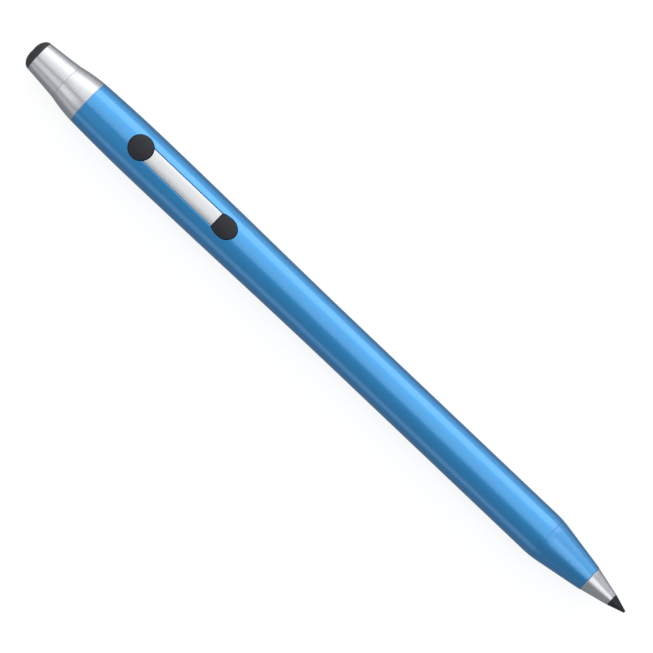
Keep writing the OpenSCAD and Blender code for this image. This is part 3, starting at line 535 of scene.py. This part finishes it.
def button_skins(centre_u, edge):
    """Rings from the middle of the face out over its rounded edge, down the side, out round the
    flange and in under it, up into the hollow and down the stem."""
    centre = np.array([centre_u, 0])
    inner = edge(-BUTTON_FILLET)
    share = np.linspace(0, 1, 8)[:, None, None]
    face = centre + share * (inner - centre)
    crown = on_tube(face, barrel_radius(face[..., 0]) + BUTTON_PROUD)
    crown[..., 2] += BUTTON_DOME * (1 - share[..., 0] ** 2)
    roll = np.radians([15, 30, 50, 70, 90])
    rings = [on_tube(e, barrel_radius(e[:, 0]) + BUTTON_PROUD) - (0, 0, BUTTON_FILLET * (1 - np.cos(a)))
             for a, e in zip(roll, [edge(-BUTTON_FILLET * (1 - np.sin(a))) for a in roll])]
    stem = edge(-BUTTON_WALL) - centre
    stem = centre + BUTTON_STEM_R * stem / np.linalg.norm(stem, axis=1)[:, None]
    low = [(edge(0), FLANGE_HIGH), (edge(FLANGE_GROW), FLANGE_HIGH), (edge(FLANGE_GROW), FLANGE_LOW),
           (edge(-BUTTON_WALL), FLANGE_LOW), (edge(-BUTTON_WALL), HOLLOW_TOP), (stem, HOLLOW_TOP),
           (stem, FLANGE_LOW), (0 * stem + centre, FLANGE_LOW)]
    walls = [np.insert(plan, 2, height, axis=1) for plan, height in low]
    return [quads(np.concatenate([crown, rings, walls]), columns_closed=True)]


button_black, *_ = grained("button_black", ((0.016, 0.018, 0.025), (0.024, 0.027, 0.036)), (0.48, 0.60),
                           0.14, 2.0)
piece("round_button", button_skins(retract_u, round_edge), button_black, ["retract_button"],
      body="retract_button")
piece("oval_button", button_skins(feed_u, oval_edge), button_black, ["feed_button"],
      body="feed_button")

# ---- Inlay strip ----
# The inlay is a strip of bright aluminium, brushed lengthwise, rolled to the barrel's curve.
# It lies just below the barrel's surface between the buttons, held by two pegs through the barrel's wall.

STRIP_RECESS, STRIP_FILLET, STRIP_UNDER = 0.13, 0.1, 0.02
strip_front = oval(BUTTON_GAP)[0, 0]


def strip_skins():
    """A grid across the strip and along it, at the barrel's radius less the recess, with its four edges
    rolled down, over a matching underside, with a straight wall all round."""
    roll = np.radians([0, 22.5, 45, 67.5, 90])
    hold = 1.4 * STRIP_FILLET
    lip = STRIP_FILLET * (1 - np.sin(roll))[::-1]
    sag = STRIP_FILLET * (1 - np.cos(roll))[::-1]
    middle = np.linspace(STRIP_HALF - hold, hold - STRIP_HALF, 9)
    across = np.concatenate([STRIP_HALF - lip, middle, (lip - STRIP_HALF)[::-1]])
    across_sag = np.concatenate([sag, 0 * middle, sag[::-1]])
    rear = retract_u + np.sqrt((RETRACT_R + BUTTON_GAP) ** 2 - across ** 2)[:, None]
    length = strip_front - rear
    run = np.concatenate([np.broadcast_to(lip, (len(across), 5)),
                          hold + (length - 2 * hold) * np.linspace(0, 1, 24),
                          length - lip[::-1]], axis=1)
    run_sag = np.concatenate([sag, np.zeros(24), sag[::-1]])
    plan = np.stack([rear + run, np.broadcast_to(across[:, None], run.shape)], axis=-1)
    drop = STRIP_RECESS + np.minimum(np.hypot(across_sag[:, None], run_sag), STRIP_FILLET)
    top = on_tube(plan, barrel_radius(plan[..., 0]))
    top[..., 2] -= drop
    under = on_tube(plan, STRIP_FLOOR_R + STRIP_UNDER)
    border = [np.concatenate([s[0], s[1:, -1], s[-1, -2::-1], s[-2:0:-1, 0]]) for s in (top, under)]
    return [quads(top), quads(under), quads(np.array(border), columns_closed=True)]


inlay_silver, *_ = grained("inlay_silver", ((0.90, 0.90, 0.90), (0.97, 0.97, 0.965)), (0.32, 0.40), 0.12, 0.3,
                           stretch=(0.03, 1, 1), shader=METAL)
piece("inlay_strip_plate", strip_skins(), inlay_silver, ["inlay_strip"])

# ---- Power socket ----
# The socket is a moulded tube with three gold-flashed spring contacts, held by a nylon plug in the collar.
# Two silicone leads are soldered from the contacts to the board.

inner_plastic, *_ = grained("inner_plastic", ((0.048, 0.048, 0.052), (0.070, 0.070, 0.076)), (0.50, 0.66),
                            0.18, 3.5, stretch=(0.4, 1, 1))
contact_gold, *_ = grained("contact_gold", ((0.80, 0.55, 0.20), (0.90, 0.66, 0.28)), (0.18, 0.30), 0.10, 0.4,
                           shader=METAL)
SILICONE = {"Sheen Weight": 0.15, "Sheen Roughness": 0.4}
wire_red, *_ = grained("wire_red", ((0.44, 0.016, 0.014), (0.58, 0.026, 0.022)), (0.40, 0.55), 0.10, 1.2,
                       shader=SILICONE)
dress(black_plastic, "jack_body")
dress(contact_gold, "jack_contacts", "motor_terminals")
dress(inner_plastic, "jack_holder", "pcb_tray", "motor_cradle", "drive_frame")
dress(wire_red, "power_leads")

# ---- Circuit board ----
# The board is glass fibre under green solder mask, screwed to a nylon tray, and carries both switches.
# Chips are moulded in epoxy, the inductor has a ferrite core, and the connector takes the motor's plug.

board_green, board_tree, board_skin, _ = grained(
    "board_green", ((0.010, 0.13, 0.050), (0.018, 0.18, 0.075)), (0.22, 0.36), 0.25, 1.0,
    shader={"Coat Weight": 0.4})
tracks = add(board_tree, "ShaderNodeTexWave",
             {"Scale": 520.0, "Distortion": 5.0, "Detail": 1.0, "Detail Scale": 0.6},
             bands_direction="Y", wave_profile="SAW")
board_place = add(board_tree, "ShaderNodeTexCoord")
board_tree.links.new(board_place.outputs["Object"], tracks.inputs["Vector"])
track_edge = add(board_tree, "ShaderNodeMapRange",
                 {"Value": tracks.outputs["Fac"], "From Min": 0.55, "From Max": 0.62})
masked = add(board_tree, "ShaderNodeMix", {"Factor": track_edge.outputs[0]}, data_type="RGBA")
board_tree.links.new(board_skin.inputs["Base Color"].links[0].from_socket, masked.inputs[6])
masked.inputs[7].default_value = (0.030, 0.26, 0.10, 1)
board_tree.links.new(masked.outputs[2], board_skin.inputs["Base Color"])
chip_black, *_ = grained("chip_black", ((0.013, 0.013, 0.014), (0.024, 0.024, 0.026)), (0.40, 0.56),
                         0.08, 2.0)
ferrite, *_ = grained("ferrite", ((0.040, 0.040, 0.044), (0.075, 0.075, 0.080)), (0.50, 0.72), 0.12, 5.0)
chip_parts, *_ = grained("chip_parts", ((0.20, 0.13, 0.075), (0.42, 0.33, 0.25)), (0.30, 0.50), 0.35, 2.0)
connector_ivory, *_ = grained("connector_ivory", ((0.66, 0.61, 0.49), (0.76, 0.72, 0.60)), (0.35, 0.50),
                              0.20, 1.5, shader={"Subsurface Weight": 0.1, "Subsurface Scale": 0.3 * MM})
stem_ivory, *_ = grained("stem_ivory", ((0.60, 0.56, 0.46), (0.70, 0.66, 0.56)), (0.28, 0.42), 0.15, 0.8)
steel, *_ = grained("steel", ((0.42, 0.42, 0.44), (0.56, 0.56, 0.58)), (0.26, 0.40), 0.20, 0.8,
                    stretch=(1, 0.06, 0.06), shader=METAL)
dress(board_green, "pcb")
dress(chip_black, "controller_chip", "power_transistors", "feed_switch", "retract_switch", "motor_end_cap")
dress(ferrite, "inductor")
dress(chip_parts, "passives")
dress(connector_ivory, "wire_connector")
dress(stem_ivory, "feed_plunger", "retract_plunger")
dress(steel, "pcb_screws", "motor_can", "gearbox", "tie_rods", "drive_screw", "pressure_arm")

# ---- Motor and drive ----
# A geared motor turns the hobbed screw through a brass coupling, and both run in sintered bronze bearings.
# The spring steel arm presses a ground roller against the filament, and pivots on a pin in the nylon frame.

brass, *_ = grained("brass", ((0.62, 0.43, 0.16), (0.78, 0.57, 0.26)), (0.22, 0.36), 0.18, 0.7,
                    stretch=(1, 0.08, 0.08), shader=METAL)
bearing_bronze, *_ = grained("bearing_bronze", ((0.42, 0.25, 0.10), (0.62, 0.40, 0.20)), (0.36, 0.55),
                             0.06, 2.5, shader=METAL)
black_steel, *_ = grained("black_steel", ((0.035, 0.035, 0.040), (0.065, 0.065, 0.072)), (0.32, 0.46),
                          0.12, 1.0, shader=METAL)
wire_black, *_ = grained("wire_black", ((0.016, 0.016, 0.017), (0.030, 0.030, 0.032)), (0.40, 0.55),
                         0.10, 1.2, shader=SILICONE)
dress(wire_black, "motor_leads")
dress(brass, "shaft_coupling")
dress(black_steel, "coupling_screws")
dress(bearing_bronze, "rear_bearing", "front_bearing")
dress(polished_steel, "output_shaft", "screw_shaft", "arm_pin", "pressure_roller", "roller_pin", "heat_break")

# ---- Arm spring ----
# The spring is wound from steel wire, with a close dead coil at each end and three working ones between.
# It stands on the drive frame's floor and pushes the arm up, and shortens as the arm is pushed down; here the
# coil is built at one fixed length.

spring_low, spring_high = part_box("arm_spring")
SPRING_R, SPRING_WIRE_R = 0.8, 0.09
SPRING_TURNS, DEAD_TURNS = 4.6, 0.8


def spring_skin():
    """A circle of the wire's radius carried round a helix and shrunk to a point at both ends. At turn t the
    wire's centre is (middle + R cos 2 pi t, R sin 2 pi t, height); the height climbs one wire's width a turn
    in the dead turns at each end, and evenly between them."""
    turns = np.linspace(0, SPRING_TURNS, 130)
    t = np.concatenate([[0], turns, [SPRING_TURNS]])[:, None]
    wire = SPRING_WIRE_R * np.pad(np.ones(len(turns)), 1)[:, None]
    middle = ((spring_low.x + spring_high.x) / 2 - tail_x) / MM
    foot = (spring_low.z - axis_z) / MM + SPRING_WIRE_R
    top = (spring_high.z - axis_z) / MM - SPRING_WIRE_R
    dead = DEAD_TURNS * 2 * SPRING_WIRE_R
    height = np.interp(t, [0, DEAD_TURNS, SPRING_TURNS - DEAD_TURNS, SPRING_TURNS],
                       [foot, foot + dead, top - dead, top])
    round_wire = np.radians(np.arange(0, 360, 30))
    out = SPRING_R + wire * np.cos(round_wire)
    return quads(np.stack([middle + out * np.cos(2 * np.pi * t), out * np.sin(2 * np.pi * t),
                           height + wire * np.sin(round_wire)], axis=-1), columns_closed=True)


spring = piece("arm_spring_coil", [spring_skin()], steel, ["arm_spring"])
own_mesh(spring)

# ---- Filament guides and hot end ----
# Two fluoropolymer tubes guide the filament from the tail to the screw and on to the hot end.
# A thin steel heat break carries it through a plastic plug into a ceramic heater wrapped in mica.

ptfe_white, *_ = grained("ptfe_white", ((0.78, 0.78, 0.74), (0.88, 0.88, 0.85)), (0.26, 0.40), 0.30, 0.8,
                         stretch=(0.1, 1, 1),
                         shader={"Subsurface Weight": 0.25, "Subsurface Scale": 0.4 * MM})
insulator_tan, *_ = grained("insulator_tan", ((0.44, 0.34, 0.20), (0.58, 0.47, 0.30)), (0.40, 0.56),
                            0.16, 1.5, stretch=(1, 0.1, 0.1))
ceramic_white, *_ = grained("ceramic_white", ((0.76, 0.74, 0.68), (0.86, 0.84, 0.79)), (0.34, 0.50),
                            0.08, 1.5)
mica_tan, *_ = grained("mica_tan", ((0.46, 0.36, 0.18), (0.66, 0.56, 0.34)), (0.18, 0.40), 0.60, 2.0,
                       stretch=(0.5, 1, 1), shader={"Coat Weight": 0.3})
bead_amber, *_ = grained("bead_amber", ((0.46, 0.13, 0.03), (0.62, 0.22, 0.06)), (0.05, 0.12), 0.25, 0.5,
                         shader={"Coat Weight": 0.5})
wire_glass, *_ = grained("wire_glass", ((0.68, 0.64, 0.52), (0.84, 0.81, 0.72)), (0.60, 0.80), 0.07, 6.0,
                         stretch=(0.5, 1, 1), shader={"Sheen Weight": 0.3})
wire_blue, *_ = grained("wire_blue", ((0.035, 0.07, 0.34), (0.060, 0.11, 0.48)), (0.30, 0.44), 0.08, 0.8)
dress(ptfe_white, "rear_guide_tube", "front_guide_tube")
dress(insulator_tan, "insulator_plug")
dress(ceramic_white, "heater_core", "nose_insulator")
dress(mica_tan, "heater_sleeve")
dress(wire_glass, "heater_leads")
dress(bead_amber, "thermistor")
dress(wire_blue, "thermistor_leads")

# ---- Studio ----
# A white floor and plain soft light from area lamps: one large and two smaller over the pen's left side, a
# low one on its right, two near the tail and one past the nose. A long lens looks down on the pen.

LAMP_DISTANCE = 1.2


def lamp(name, direction, size, radiance, along):
    """A rectangular lamp that faces the pen: it stands at this angle from straight up towards +Y, this far
    along the pen from its middle, and its radiance is the same all over."""
    turn = np.radians(direction)
    away = Vector((0, np.sin(turn), np.cos(turn)))
    light = bpy.data.lights.new(name, "AREA")
    light.shape = "RECTANGLE"
    light.size, light.size_y = size
    light.energy = radiance * np.pi * size[0] * size[1]
    stand = bpy.data.objects.new(name, light)
    bpy.context.scene.collection.objects.link(stand)
    side = Vector((1, 0, 0))
    stand.matrix_world = Matrix.Translation(away * LAMP_DISTANCE + side * along) @ Matrix(
        (side, away.cross(side), away)).transposed().to_4x4()
    stand.visible_camera = False


lamp("soft_box", 33, (1.7, 2.6), 0.62, along=-0.3)
lamp("bright_box", 60, (1.0, 0.75), 0.6, along=-0.15)
lamp("side_box", 92, (1.7, 0.9), 0.3, along=-0.3)
lamp("low_box", -92, (1.15, 0.45), 0.36, along=-0.33)
lamp("tail_box", -48, (1.0, 0.8), 0.8, along=-0.85)
lamp("tail_bright_box", 36, (0.8, 0.7), 0.4, along=-0.85)
lamp("nose_box", -1, (0.8, 1.1), 1.0, along=0.87)

world = bpy.data.worlds.new("studio_air")
world.use_nodes = True
bpy.context.scene.world = world
air = world.node_tree
air.nodes.clear()
seen = add(air, "ShaderNodeLightPath")
dim = add(air, "ShaderNodeBackground", {"Color": (0.84, 0.92, 1, 1), "Strength": 0.24})
white = add(air, "ShaderNodeBackground", {"Color": (1, 1, 1, 1), "Strength": 1.0})
mixed = add(air, "ShaderNodeMixShader",
            {0: seen.outputs["Is Camera Ray"], 1: dim.outputs[0], 2: white.outputs[0]})
add(air, "ShaderNodeOutputWorld", {"Surface": mixed.outputs[0]})

FLOOR_HALF = 4
floor_mesh = bpy.data.meshes.new("floor")
floor_mesh.from_pydata([(-FLOOR_HALF, -FLOOR_HALF, 0), (FLOOR_HALF, -FLOOR_HALF, 0),
                        (FLOOR_HALF, FLOOR_HALF, 0), (-FLOOR_HALF, FLOOR_HALF, 0)], [], [(0, 1, 2, 3)])
floor = bpy.data.objects.new("floor", floor_mesh)
bpy.context.scene.collection.objects.link(floor)
floor.visible_glossy = False
paper = bpy.data.materials.new("white_paper")
paper.use_nodes = True
paper_skin = paper.node_tree.nodes["Principled BSDF"]
paper_skin.inputs["Base Color"].default_value = (0.3, 0.3, 0.3, 1)
paper_skin.inputs["Roughness"].default_value = 1.0
paper_skin.inputs["Specular IOR Level"].default_value = 0.0
paper_skin.inputs["Emission Color"].default_value = (1, 1, 1, 1)
paper_skin.inputs["Emission Strength"].default_value = 0.85
floor_mesh.materials.append(paper)

CAMERA_FROM = Vector((0.052, -0.149, 0.987)).normalized()
CAMERA_DISTANCE = 2.164
AIM_RIGHT, AIM_UP = -0.00037, 0.00093
PEN_TILT = np.radians(43.52)
along_pen = Vector((1, 0, 0))
along_pen = (along_pen - along_pen.dot(CAMERA_FROM) * CAMERA_FROM).normalized()
camera_right = along_pen * np.cos(PEN_TILT) + CAMERA_FROM.cross(along_pen) * np.sin(PEN_TILT)
camera_up = CAMERA_FROM.cross(camera_right)
camera_data = bpy.data.cameras.new("camera")
camera_data.lens = 500
camera_data.sensor_width = 36
camera_data.clip_start = 0.01
camera = bpy.data.objects.new("camera", camera_data)
bpy.context.scene.collection.objects.link(camera)
aim = Vector((0, 0, axis_z)) + AIM_RIGHT * camera_right + AIM_UP * camera_up
camera.matrix_world = Matrix.Translation(aim + CAMERA_FROM * CAMERA_DISTANCE) @ Matrix(
    (camera_right, camera_up, CAMERA_FROM)).transposed().to_4x4()
bpy.context.scene.camera = camera
bpy.context.scene.view_settings.view_transform = "Standard"
